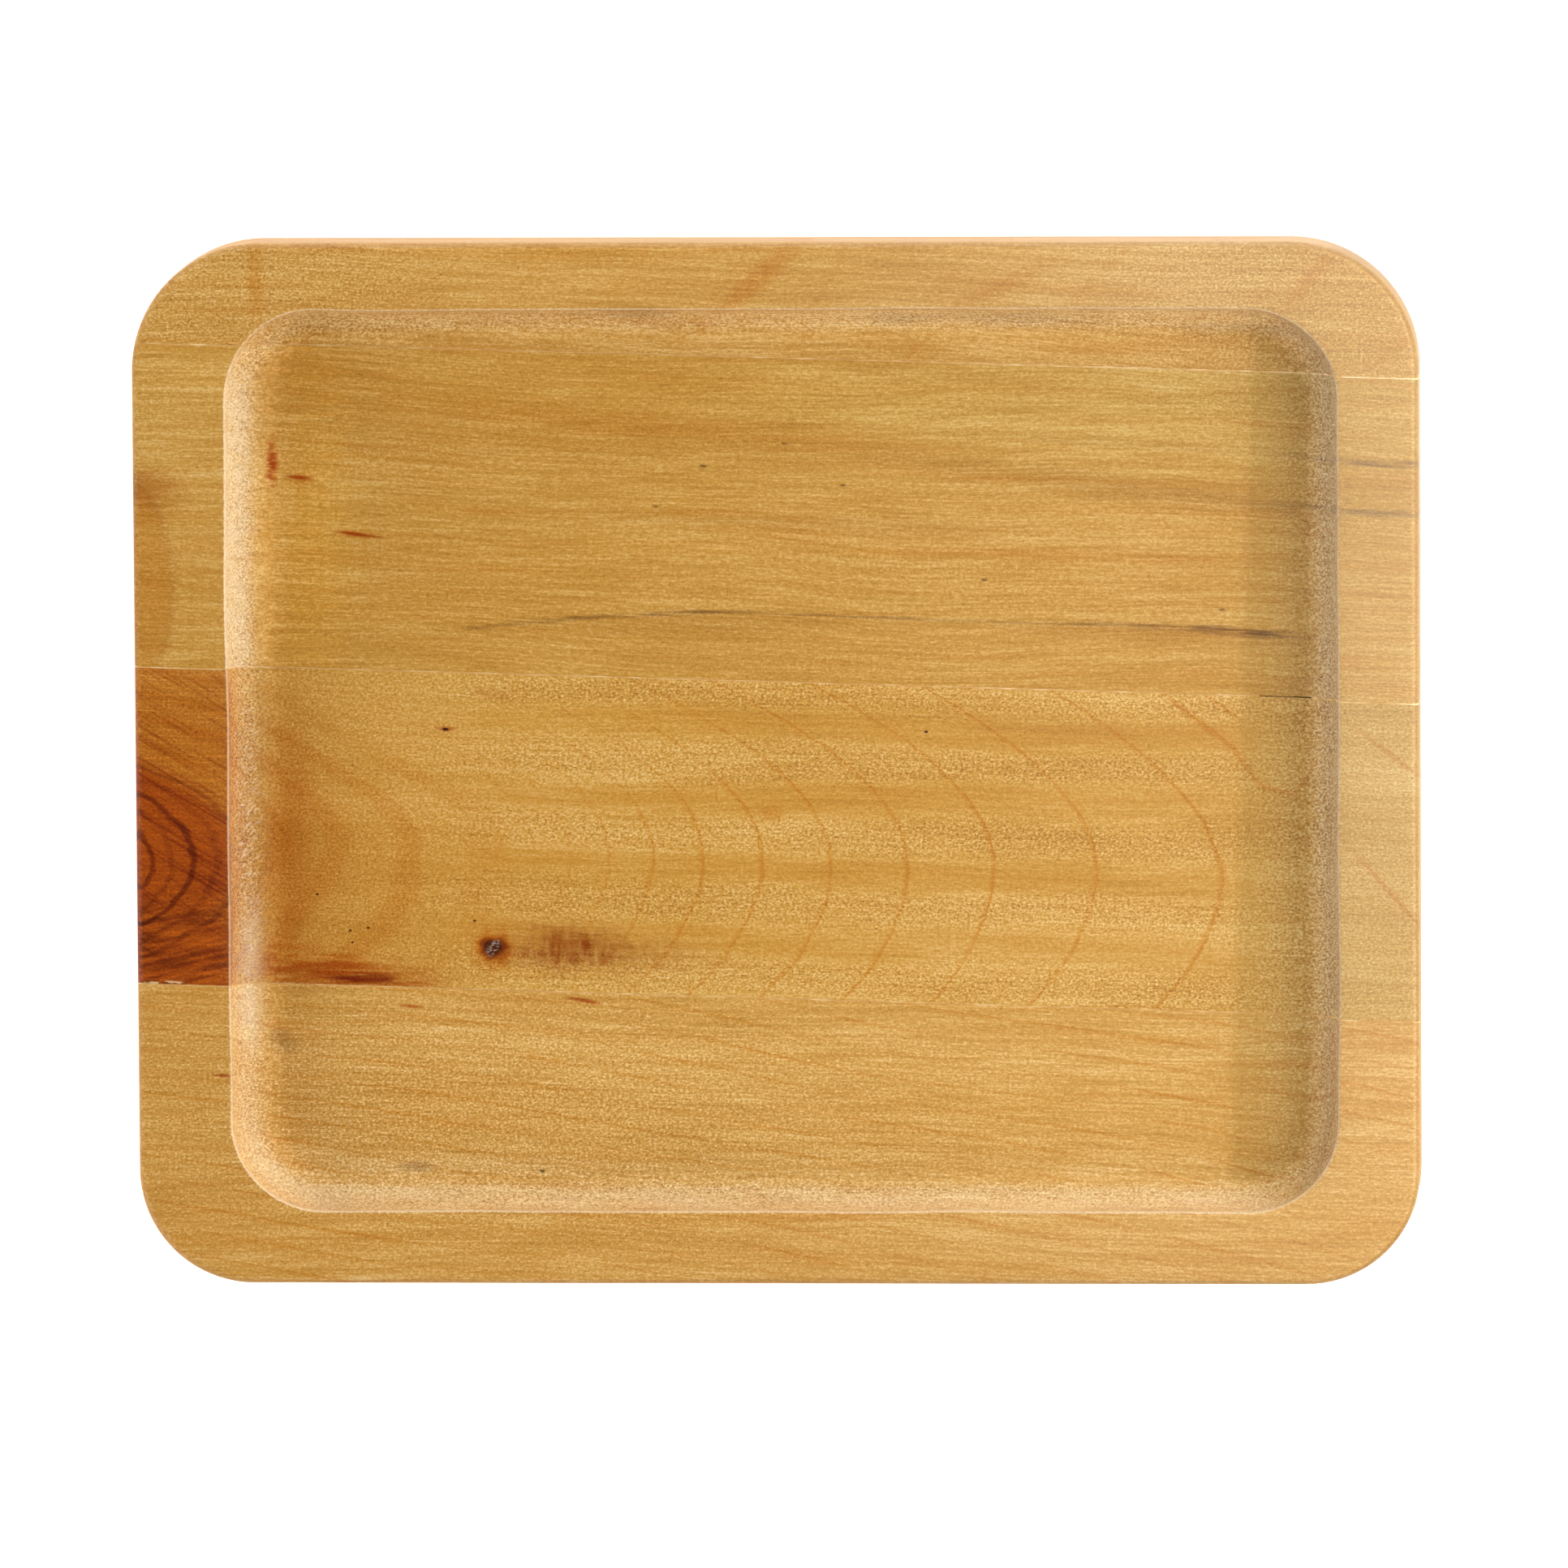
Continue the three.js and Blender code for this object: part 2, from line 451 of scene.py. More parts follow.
def ramp(field, stops):
    """A colour that follows a field through (place, colour) stops."""
    node = field.tree.nodes.new("ShaderNodeValToRGB")
    elements = node.color_ramp.elements
    while len(elements) < len(stops):
        elements.new(0.5)
    for element, (position, colour) in zip(elements, stops):
        element.position = position
        element.color = (*colour, 1)
    feed(field.tree, node.inputs["Fac"], field)
    return Field(field.tree, node.outputs["Color"])


def tinted(colour, tint, share, blend):
    """A colour with a tint laid over it by a share, which is a field."""
    node = share.tree.nodes.new("ShaderNodeMix")
    node.data_type = "RGBA"
    node.blend_type = blend
    feed(share.tree, node.inputs["Factor"], share)
    feed(share.tree, node.inputs["A"], colour)
    feed(share.tree, node.inputs["B"], (*tint, 1))
    return Field(share.tree, node.outputs["Result"])


def srgb(red, green, blue):
    """A colour given as it looks on a screen, 0 to 255, as linear light."""
    shares = [value / 255 for value in (red, green, blue)]
    return tuple(s / 12.92 if s <= 0.04045 else ((s + 0.055) / 1.055) ** 2.4 for s in shares)


# ---------------------------------------------------------------- wood

# Tints that multiply the wood's own colour.
WARM = (0.94, 0.82, 0.60)
ORANGE_LINE = (0.90, 0.70, 0.38)
ORANGE = (0.90, 0.72, 0.45)
CURL = (0.88, 0.70, 0.42)
BROWN = (0.62, 0.40, 0.24)
RED_FLECK = (0.62, 0.22, 0.03)
GREY = (0.48, 0.42, 0.45)
DRAB = (0.80, 0.72, 0.60)
SMOKE = (0.50, 0.20, 0.0)
BLACK = (0.10, 0.05, 0.03)
# Painted shade on the right cove, which faces away from the key light.
COOL_SHADE = (0.67, 0.69, 0.84)
# Painted warm light at the foot of the left cove, standing in for light thrown back off the lit wall.
PAINTED_FOOT_LIGHT = (1.08, 0.95, 0.76)
# Painted shadow of the right wall on the floor beside it, and over the frayed foot of the right cove.
PAINTED_WALL_SHADOW = (0.84, 0.84, 0.75)
# Painted shade darkening the outer edges, most on the right side, which faces the key light.
PAINTED_EDGE_SHADE = (0.76, 0.72, 0.68)
PAINTED_RIGHT_EDGE_SHADE = (0.76, 0.74, 0.60)

# Colours laid over the wood: the fuzz of cut fibres, a haze that is partly wear of the finish and partly
# painted sheen, and a painted highlight where the finish catches the light.
NAP = (0.82, 0.68, 0.45)
HAZE_AND_SHEEN = (0.66, 0.60, 0.46)
PAINTED_HIGHLIGHT = (0.90, 0.77, 0.55)


class Log:
    """The log a stave was sawn from: where its pith runs, and how wide its growth rings are.

    Seen across the stave, the pith is at pith_across. It is above the floor of the well by the square
    root of depth + slope * along + bend * along ** 2. A ring is young wide at the pith, and growth
    times the square of its distance wider further out. The rings' lines are line times as thick as usual.
    """

    def __init__(self, pith_across, depth, slope, bend, young, growth, phase, warp, line=1.0):
        self.pith_across = pith_across
        self.depth = depth
        self.slope = slope
        self.bend = bend
        self.young = young
        self.growth = growth
        self.phase = phase
        self.warp = warp
        self.line = line


def pith_distance(surface, log):
    """How far each point is from the log's pith line."""
    squared = surface.along * (surface.along * log.bend + log.slope) + log.depth
    gap = squared.math("MAXIMUM", 0).math("SQRT") - (surface.height - FLOOR_HEIGHT)
    sway = surface.cloud(90 * MM, 45 * MM, seed=1, detail=0) * log.warp
    ripple = surface.cloud(14 * MM, 7 * MM, seed=12) * (log.warp * 0.12)
    return length_of(surface.across - log.pith_across, gap) + sway + ripple


def ring_line(distance, log):
    """Peaks at 1 on each growth ring, with a long fade inwards and a short one outwards."""
    reach = math.sqrt(log.growth / log.young)
    count = (distance * reach).math("ARCTANGENT") / (reach * log.young) + log.phase
    part = count.math("FRACT")
    width = distance * distance * log.growth + log.young
    before = ((1 - part) * width).rise(0.7 * MM * log.line, 0)
    after = (part * width).rise(0.25 * MM * log.line, 0)
    return before.math("MAXIMUM", after)


class Wood:
    """One stave's wood: its material and surface, its log's rings, and the marks on it.

    fuzz scales the pale nap on its cut walls, and the strength of the highlight painted on them is kept
    beside it.
    """

    def __init__(self, name, seed, log, tones):
        self.material = bpy.data.materials.new(name)
        self.material.use_nodes = True
        self.tree = self.material.node_tree
        self.surface = Surface(self.tree, seed)
        self.tones = tones
        self.distance = pith_distance(self.surface, log)
        self.ring = ring_line(self.distance, log)
        self.ragged = self.surface.cloud(7 * MM, 1.2 * MM, seed=2, detail=2) * 0.35
        self.marks = []
        self.fuzz = 1
        # How strong the highlight painted on the cut walls is.
        self.painted_highlight = 0

    def mark(self, mask, tint, strength=1.0, blend="MULTIPLY"):
        """Tints the wood through a mask, so that the fibres still show in it."""
        self.marks.append((mask * strength, tint, blend))

    def spot(self, along, across, long, wide, turn=0.0, soft=0.6, ragged=1.0):
        """A ragged-edged elliptical patch, its places and half-sizes in millimetres."""
        edge = self.ragged * ragged
        return self.surface.spot(along * MM, across * MM, long * MM, wide * MM, turn, soft, edge)

    def hoop(self, along, across, long, wide, thick):
        """The outline of an elliptical patch, drawn thick millimetres wide."""
        outer = self.spot(along, across, long + thick, wide + thick, 0, 0.06, 0.2)
        return outer - self.spot(along, across, long, wide, 0, 0.06, 0.2)

    def streak(self, start, end, wide, soft=0.8):
        """A ragged streak between two (along, across) places, in millimetres."""
        step = (end[0] - start[0], end[1] - start[1])
        middle = ((start[0] + end[0]) / 2, (start[1] + end[1]) / 2)
        turn = math.degrees(math.atan2(step[1], step[0]))
        return self.spot(*middle, math.hypot(*step) / 2, wide, turn, soft)

    def mark_streaks(self, tint, rows, through=1):
        """Marks streaks, each (start, end, half-width, strength), through a mask."""
        for start, end, wide, strength in rows:
            self.mark(self.streak(start, end, wide) * through, tint, strength)


class Zones:
    """How far each point belongs to a part of the tray, from 0 to 1."""

    def __init__(self, surface):
        along, height, upward = surface.along, surface.height, surface.upward
        low = height.rise(FLOOR_HEIGHT + 3 * MM, FLOOR_HEIGHT)
        foot = height.rise(FLOOR_HEIGHT + 1.2 * MM, FLOOR_HEIGHT)
        inward = surface.outward.rise(0.0, -0.02)
        self.steep = upward.math("ABSOLUTE").rise(0.995, 0.84)
        self.inner_wall = self.steep * inward
        self.outer_wall = self.steep - self.inner_wall
        self.frayed = along.rise(103 * MM, 114 * MM) * low * 0.45
        # The floor that the right wall shades, where its shadow is painted.
        self.right_wall_shadow = along.rise(99 * MM, 103 * MM) * upward.rise(0.9, 1.0) * low
        # The right cove, where shade is painted.
        self.right_cove = along.rise(40 * MM, 120 * MM) * surface.forward.rise(-0.25, -0.8)
        # The foot of the left cove, where warm light is painted.
        self.left_foot = along.rise(-94 * MM, -108 * MM) * foot
        # The walls that face the lights, where the fuzz is painted paler.
        self.lit = (surface.forward + surface.sideways).rise(0.1, 0.8)
        # The lip, where a highlight is painted.
        self.lip = height.rise(WALL_TOP - 0.4 * MM, WALL_TOP + 0.1 * MM) * upward.rise(0.97, 0.8) * inward
        # The outer edges, and their right side, where shade is painted.
        self.outer_edge = surface.outward.rise(0.01, 0.05) * upward.rise(0.995, 0.75)
        self.right_edge = self.outer_edge * surface.forward.rise(0.1, 0.5)


class Fibres:
    """The noises that one stave's fibres are drawn with, from the broadest to the finest."""

    def __init__(self, surface):
        drift = fibre_drift(surface)
        self.patches = surface.cloud(90 * MM, 14 * MM, seed=5, detail=2, bent=drift)
        self.warmth = surface.cloud(60 * MM, 3.2 * MM, seed=13, detail=3, bent=drift).rise(-0.2, 1.0)
        self.bundles = surface.cloud(34 * MM, 1.6 * MM, seed=6, detail=2, bent=drift)
        self.threads = surface.cloud(16 * MM, 0.45 * MM, seed=7, bent=drift)
        self.tufts = surface.cloud(14 * MM, 4 * MM, seed=14, detail=2)
        self.dashes = surface.cloud(1.6 * MM, 0.45 * MM, seed=11, bent=drift)
        self.pores = surface.cloud(0.9 * MM, 0.35 * MM, seed=9).rise(0.60, 1.15)
        self.grain = surface.cloud(0.6 * MM, 0.45 * MM, seed=8)
        slant = surface.along * -0.9
        self.flecks = surface.cloud(0.55 * MM, 0.34 * MM, seed=10, bent=slant).rise(0.45, 1.15)

    def tone(self, rough, streaks):
        """How light the bare wood is, about a middle of 0.5."""
        stripes = self.bundles * 0.065 + self.threads * 0.085 + self.dashes * ((1 - rough * 0.5) * 0.095)
        speckle = self.grain * (rough * 0.12 + 0.07) + self.flecks * (rough * 0.42 + 0.07)
        pits = self.pores * (rough * 0.22 + 0.12) + rough * 0.02
        return self.patches * 0.05 + stripes * streaks + speckle - pits + 0.5

    def nap(self, zones):
        """How pale the fuzz of cut fibres is: real fuzz on the cut walls, with painted light making it paler
        on the walls that the light rakes.
        """
        nap = (zones.lit * 0.24 + 0.12) * (self.tufts * 0.25 + 0.95)
        nap = nap + self.grain * 0.20 + self.flecks * 0.45 - self.pores * 0.25
        return (zones.inner_wall + zones.outer_wall * 0.2 + zones.frayed * 0.6) * nap

    def relief(self):
        """The height of the fine relief, from about -1 to 1."""
        return self.grain * 0.6 + self.flecks * 0.5 - self.pores + self.threads * 0.3


def fibre_drift(surface):
    """How far the fibres wander sideways, so that no streak runs quite straight."""
    slow = surface.cloud(110 * MM, 40 * MM, seed=3) * (2.2 * MM)
    quick = surface.cloud(22 * MM, 9 * MM, seed=4) * (0.25 * MM)
    return slow + quick


def well_layers(zones):
    """Painted shade on the right cove, a painted shadow of the right wall on the floor beside it, and painted
    warm light at the foot of the left cove.
    """
    return [
        (zones.right_cove, COOL_SHADE, "MULTIPLY"),
        (zones.left_foot * 0.4, PAINTED_FOOT_LIGHT, "MULTIPLY"),
        (zones.right_wall_shadow + zones.frayed * 0.5, PAINTED_WALL_SHADOW, "MULTIPLY"),
    ]


def finish_and_painted_light_layers(surface, zones, painted_highlight):
    """The clear finish with painted light and shade over it: a haze to the right, partly from wear and partly
    painted sheen; a painted highlight on the lip and cut walls; and painted shade on the outer edges.
    """
    worn_and_sheen = surface.height.rise(FLOOR_HEIGHT, RIM_HEIGHT) * 0.13 + 0.06
    worn_and_sheen = worn_and_sheen * (surface.across.rise(-120 * MM, 60 * MM) * 0.5 + 0.5)
    return [
        # A haze that is partly wear of the finish and partly painted sheen of the lights on the right.
        (surface.along.rise(-60 * MM, 150 * MM) * worn_and_sheen, HAZE_AND_SHEEN, "MIX"),
        # Painted highlight on the cut walls and the lip.
        (zones.steep * painted_highlight + zones.lip * 0.3, PAINTED_HIGHLIGHT, "MIX"),
        # Painted shade on the outer edges, most on the right.
        (zones.outer_edge, PAINTED_EDGE_SHADE, "MULTIPLY"),
        (zones.right_edge, PAINTED_RIGHT_EDGE_SHADE, "MULTIPLY"),
    ]


def build_wood(wood, lively, streaks, rings):
    """Puts one stave's material together: lively is how fuzzy its figure is, streaks how stripy it is,
    and rings how plain its growth rings are."""
    surface = wood.surface
    fibres = Fibres(surface)
    zones = Zones(surface)
    lively = lively * (1 - zones.outer_wall * 0.8)
    rough = (zones.inner_wall * 0.7 + zones.frayed + lively).math("MINIMUM", 1.2)
    layers = [
        (fibres.warmth * (0.8 * streaks), WARM, "MULTIPLY"),
        (wood.ring * rings, ORANGE_LINE, "MULTIPLY"),
        *wood.marks,
        *well_layers(zones),
        ((fibres.nap(zones) * wood.fuzz).math("MAXIMUM", 0), NAP, "MIX"),
        *finish_and_painted_light_layers(surface, zones, wood.painted_highlight),
    ]
    colour = ramp(fibres.tone(rough, streaks), wood.tones)
    for mask, tint, blend in layers:
        colour = tinted(colour, tint, mask, blend)
    relief = fibres.relief() * (zones.inner_wall * 0.075 + rough * 0.02 + 0.008) * MM
    roughness = fibres.grain * 0.05 + surface.end_grain * 0.12 + fibres.pores * 0.1 + 0.42
    set_finish(wood.tree, colour, relief, roughness)
    wood.tree.nodes["Principled BSDF"].inputs["Specular IOR Level"].default_value = 0.18
    return wood.material


def set_finish(tree, colour, relief, roughness):
    """Sets a material's colour, its relief in metres, and how rough its clear finish is."""
    shader = tree.nodes["Principled BSDF"]
    bump = tree.nodes.new("ShaderNodeBump")
    bump.inputs["Strength"].default_value = 1
    bump.inputs["Distance"].default_value = 1
    feed(tree, bump.inputs["Height"], relief)
    tree.links.new(bump.outputs["Normal"], shader.inputs["Normal"])
    feed(tree, shader.inputs["Base Color"], colour)
    feed(tree, shader.inputs["Roughness"], roughness)


# ---------------------------------------------------------------- the four staves' wood

def far_rim_wood():
    """Fuzzy, speckled figure at both ends, and a few broad slanting growth lines."""
    log = Log(
        pith_across=130 * MM, depth=80e-3 ** 2, slope=0.06, bend=0.0,
        young=9 * MM, growth=0.01, phase=0.2, warp=1.5 * MM,
    )
    tones = [(0.25, srgb(166, 112, 42)), (0.5, srgb(203, 153, 74)), (0.75, srgb(236, 200, 134))]
    wood = Wood("far_rim_wood", 1, log, tones)
    wood.mark_streaks(ORANGE, (
        ((2, 114), (-15, 98), 2.3, 0.85),
        ((57, 111), (36, 100.5), 1.6, 0.6),
        ((118, 115), (109, 104), 1.6, 0.75),
        ((-116.5, 110), (-115, 94), 1.5, 0.75),
        ((80, 93), (58, 92), 1.2, 0.6),
        ((36, 92), (22, 91), 0.8, 0.4),
    ))
    for along, across, long in ((-34, 97.6, 9), (24, 97.7, 6), (50, 98.3, 17), (98, 97.5, 12)):
        wood.mark(wood.spot(along, across, long, 1.3, 0, 0.9), GREY, 0.42)
    fuzzy = wood.spot(-118, 104, 36, 26) + wood.spot(108, 106, 34, 26)
    return build_wood(wood, fuzzy * 0.8 + 0.15, 0.9, 0.25)


def mark_mineral_streaks(wood):
    """Broken grey lines along the middle of the stave and across its right rim, with drab ones beside."""
    broken = wood.surface.cloud(11 * MM, 0.6 * MM, seed=22, detail=2).rise(-0.9, 0.7)
    wood.mark_streaks(GREY, (
        ((-68, 27.2), (-40, 30.6), 0.45, 0.7),
        ((-48, 29.9), (-8, 32.6), 0.5, 1.0),
        ((-20, 32.4), (28, 32.2), 0.35, 0.7),
        ((18, 32.0), (82, 32.0), 0.35, 0.7),
        ((66, 32.3), (108, 31.0), 0.5, 1.0),
        ((88, 32.2), (112, 30.7), 0.7, 1.0),
        ((92, 30.8), (110, 30.0), 0.35, 0.8),
        ((114, 69.9), (152, 69.2), 0.8, 1.0),
        ((114, 59.1), (152, 58.4), 0.7, 1.0),
    ), broken)
    wood.mark_streaks(DRAB, (
        ((60, 61.5), (118, 58.5), 1.6, 0.7),
        ((20, 67), (92, 62), 2.0, 0.6),
        ((36, 73), (104, 71), 1.2, 0.5),
        ((-60, 28), (20, 31), 2.2, 0.5),
        ((50, 31), (112, 29.5), 1.8, 0.6),
        ((-40, 53), (40, 52), 1.8, 0.5),
    ))


def mark_red_flecks(wood):
    """A jagged scar at the foot of the left cove, and two red flecks on the floor beside it."""
    ladder = wood.surface.cloud(2.4 * MM, 0.9 * MM, seed=29).rise(-0.9, 0.2)
    scar = wood.streak((-112.2, 66), (-111.9, 57.6), 1.1, 0.7)
    wood.mark(scar, (0.90, 0.58, 0.25), 0.7)
    wood.mark(scar * ladder, RED_FLECK)
    wood.fuzz = 1.4 - scar * 1.2
    for start, end, wide in (
        ((-109, 59.3), (-103.5, 58.9), 0.45),
        ((-97, 47.4), (-89, 46.7), 0.35),
    ):
        wood.mark(wood.streak(start, end, wide * 2.2, 0.8), (0.85, 0.62, 0.36), 0.8)
        wood.mark(wood.streak(start, end, wide, 0.6), RED_FLECK)


def mark_left_patches(wood):
    """The pale and brown patches of the stave's left rim, and painted light on the foot of its left cove and
    the floor beside it.
    """
    wood.mark(wood.spot(-132, 74, 14, 14, 0, 0.8), (1.07, 1.14, 1.35))
    # Painted light on the floor at the left cove's foot and on the cove's lower part, which the walls shade.
    wood.mark(wood.spot(-106, 46, 9, 34, 0, 0.9), (1.20, 1.20, 1.06), 0.9)
    wood.mark(wood.spot(-112, 48, 4, 38, 0, 0.9), (1.12, 1.20, 1.60), 0.8)
    wood.mark(wood.spot(-147, 34, 14, 26, 0, 0.06, 0.2), (0.90, 0.76, 0.56), 0.9)
    wood.mark(wood.hoop(-147, 34, 14, 26, 0.8), BROWN, 0.45)
    wood.mark(wood.spot(-138, 56.5, 6, 4.0, -10, 0.8), (0.74, 0.54, 0.36), 0.85)


def far_middle_wood():
    """Straight, gently wavy grain with grey mineral streaks and a few red flecks."""
    log = Log(
        pith_across=330 * MM, depth=70e-3 ** 2, slope=0.002, bend=0.0,
        young=4.2 * MM, growth=0.01, phase=0.0, warp=3.5 * MM,
    )
    tones = [(0.25, srgb(160, 106, 33)), (0.5, srgb(197, 147, 65)), (0.75, srgb(230, 193, 123))]
    wood = Wood("far_middle_wood", 2, log, tones)
    mark_mineral_streaks(wood)
    mark_red_flecks(wood)
    mark_left_patches(wood)
    wood.mark(wood.spot(58, 80, 64, 12, 0, 0.9), (1.03, 1.12, 1.22))
    wood.mark(wood.spot(-50, 82, 70, 8, 0, 0.9), (1.12, 1.14, 1.16))
    for along, across, long, wide, strength in (
        (-25, 72, 26, 1.8, 0.5),
        (10, 70, 22, 2.4, 0.45),
        (-70, 74, 34, 3, 0.4),
        (60, 47, 34, 2, 0.35),
        (-50, 76, 40, 2, 0.35),
        (0, 50, 12, 1.6, 0.6),
        (-100, 82, 14, 4, 0.4),
        (112, 76, 14, 2, 0.4),
        (-70, 66, 50, 7, 0.15),
        (-80, 40, 40, 6, 0.2),
    ):
        wood.mark(wood.spot(along, across, long, wide, -2, 0.9), ORANGE, strength)
    for along, across in ((-0.2, 69.5), (-17.9, 64.1), (12.8, 60.8), (-28, 55), (44, 41), (96, 36)):
        wood.mark(wood.spot(along, across, 0.7, 0.25), BLACK, 0.7)
    fuzzy = wood.surface.cloud(60 * MM, 16 * MM, seed=20).rise(0.1, 1.3) * 0.35 + 0.1
    return build_wood(wood, fuzzy, 0.85, 0.22)


def mark_left_end(wood, curly, sway, patchy):
    """The darker left end: a brown rim with curly figure, orange curls on the floor, and painted warm shade
    at the foot of the left cove.
    """
    surface, distance = wood.surface, wood.distance
    wood.mark(distance.rise(66 * MM, 24 * MM), (0.95, 0.75, 0.47))
    raised = surface.height.rise(FLOOR_HEIGHT + 1 * MM, RIM_HEIGHT) * surface.along.rise(0, -80 * MM)
    wood.mark(raised, (0.77, 0.56, 0.36), 0.9)
    wood.mark(curly.rise(0.0, 1.1) * raised, (0.60, 0.38, 0.2), 0.8)
    curls = (distance + sway).wave(5.8 * MM).rise(-0.3, 1.0)
    curls = curls * distance.rise(24 * MM, 30 * MM) * distance.rise(62 * MM, 44 * MM)
    wood.mark(curls * patchy, CURL, 0.6)
    # Painted warm shade along the foot of the left cove.
    wood.mark(wood.spot(-106, -20, 3.5, 20, 0, 0.9), (0.88, 0.68, 0.42), 0.7)
    wood.mark(wood.spot(-114.5, -16, 4, 36), (0.82, 0.84, 0.78))


def mark_heartwood(wood, curly):
    """The brown heartwood with its dark rings, which shows on the left rim and on the sawn end."""
    surface, distance = wood.surface, wood.distance
    on_top = surface.height.rise(RIM_HEIGHT - 2.5 * MM, RIM_HEIGHT - 0.5 * MM)
    exposed = on_top.math("MAXIMUM", surface.along.rise(-137.5 * MM, -139 * MM))
    heart = distance.rise(27.5 * MM, 22 * MM) * exposed
    near_part = surface.across.rise(-26 * MM, -40 * MM) * surface.along.rise(-110 * MM, -122 * MM) * exposed
    wood.mark(heart.math("MAXIMUM", near_part), (0.76, 0.43, 0.20))
    waver = surface.cloud(16 * MM, 6 * MM, seed=23, detail=2) * (0.6 * MM)
    heart_rings = (distance - 13.6 * MM + waver).wave(2.7 * MM).rise(0.2, 1.0)
    uneven = distance.wave(6.3 * MM).rise(-1.0, 0.8) * 0.6 + 0.4
    wood.mark(heart_rings * heart * uneven, (0.40, 0.27, 0.20), 0.85)
    wood.mark(curly.rise(-0.2, 0.9) * heart, (0.70, 0.56, 0.44), 0.6)
    flames = surface.cloud(9 * MM, 1.1 * MM, seed=36, detail=3, bent=surface.along * -0.25).rise(-0.7, 0.7)
    wood.mark(flames * near_part, (0.42, 0.32, 0.26), 0.9)
    wood.mark(near_part, (1.12, 1.16, 1.1))
    scratches = surface.cloud(12 * MM, 0.5 * MM, seed=27).rise(-0.2, 0.9)
    wood.mark(scratches * exposed * surface.along.rise(-112 * MM, -120 * MM), (1.45, 1.6, 1.7), 0.6)
    wood.mark(wood.streak((-145, -45), (-118, -47), 2.5), (0.7, 0.55, 0.5), 0.5)
    wood.mark(on_top * surface.along.rise(80 * MM, 125 * MM), (0.90, 0.93, 1.0))
    chips = surface.cloud(1.6 * MM, 0.8 * MM, seed=35).rise(-0.5, 0.3) * on_top
    chipped = wood.streak((-137.5, -51.8), (-128.5, -51.6), 0.4, 0.5) * chips
    wood.mark(chipped, srgb(228, 194, 138), 0.85, "MIX")


def mark_joint_stain(wood):
    """The dark stain that has crept along the near joint on the floor."""
    waves = wood.surface.cloud(10 * MM, 0.9 * MM, seed=30, detail=2).rise(-0.8, 0.6) * 0.6 + 0.4
    wood.mark(wood.spot(-97, -48.4, 14, 4.2, -8) * waves, (0.86, 0.56, 0.26))
    wood.mark(wood.streak((-111, -49.6), (-74, -50.6), 3.0, 0.6) * waves, (0.70, 0.40, 0.15))
    wood.mark(wood.streak((-96, -50.5), (-82, -50.3), 1.0, 0.5), (0.48, 0.22, 0.06))


def mark_knot(wood):
    """The knot: a brown collar, a dark middle with grey crumbs in it, and a smoky trail to the right."""
    surface = wood.surface
    along, across = KNOT[0] / MM, KNOT[1] / MM
    wisps = surface.cloud(1.6 * MM, 5 * MM, seed=28, detail=2).rise(-0.9, 0.8) * 0.6 + 0.4
    wood.mark(wood.spot(along + 15, across + 0.8, 11, 4.0, 0, 0.9) * wisps, SMOKE)
    wood.mark(wood.spot(along + 26, across - 0.6, 17, 3.4, 0, 0.9) * wisps, SMOKE, 0.45)
    lump = surface.cloud(2.4 * MM, 2.4 * MM, seed=31, detail=3) * 0.3
    for size, soft, tint in (
        (4.6, 0.35, (0.86, 0.62, 0.32)),
        (3.3, 0.1, (0.84, 0.62, 0.36)),
        (2.7, 0.2, (0.50, 0.28, 0.11)),
        (1.8, 0.2, (0.28, 0.26, 0.30)),
    ):
        wood.mark(surface.spot(*KNOT, size * MM, size * 0.95 * MM, 0, soft, lump), tint, 0.9)
    crumbs = surface.cloud(0.8 * MM, 0.5 * MM, seed=32).rise(-0.2, 0.6)
    middle = surface.spot(*KNOT, 1.9 * MM, 1.0 * MM, 60, 0.4, lump)
    wood.mark(middle * crumbs, srgb(158, 146, 130), 0.9, "MIX")


def mark_specks(wood):
    """Pin marks, a few flecks, and growth lines that branch off at the right end."""
    for along, across, size in (
        (32.2, 7.4, 0.5),
        (-100.2, -32.2, 0.4),
        (-92.8, -40, 0.4),
        (-88.9, -39.3, 0.4),
        (-92.3, -42.6, 0.35),
        (-65.6, -37, 0.4),
    ):
        wood.mark(wood.spot(along, across, size * 0.8, size * 0.6, 0, 0.4, 0.2), BLACK)
    wood.mark(wood.spot(-62.3, 12.6, 4, 1.2, -10, 0.9), RED_FLECK, 0.25)
    wood.mark(wood.spot(-72.9, 4.9, 1.7, 0.5, 0, 0.9), RED_FLECK, 0.9)
    wood.mark(wood.spot(-72.9, 4.8, 0.7, 0.35, 0, 0.4), BLACK)
    wood.mark(wood.spot(-1.2, -11.5, 2.5, 1.4, -10, 0.9), ORANGE, 0.7)
    for start, end in (
        ((82.5, 18), (99, 6)),
        ((98, 6.8), (106, -3)),
        ((104.5, -2.3), (113.5, -4.2)),
        ((112.5, -4.4), (117.5, 3)),
        ((125, 12.5), (143, -0.5)),
        ((125, -14), (143, -33)),
    ):
        wood.mark(wood.streak(start, end, 0.55), ORANGE_LINE, 0.9)


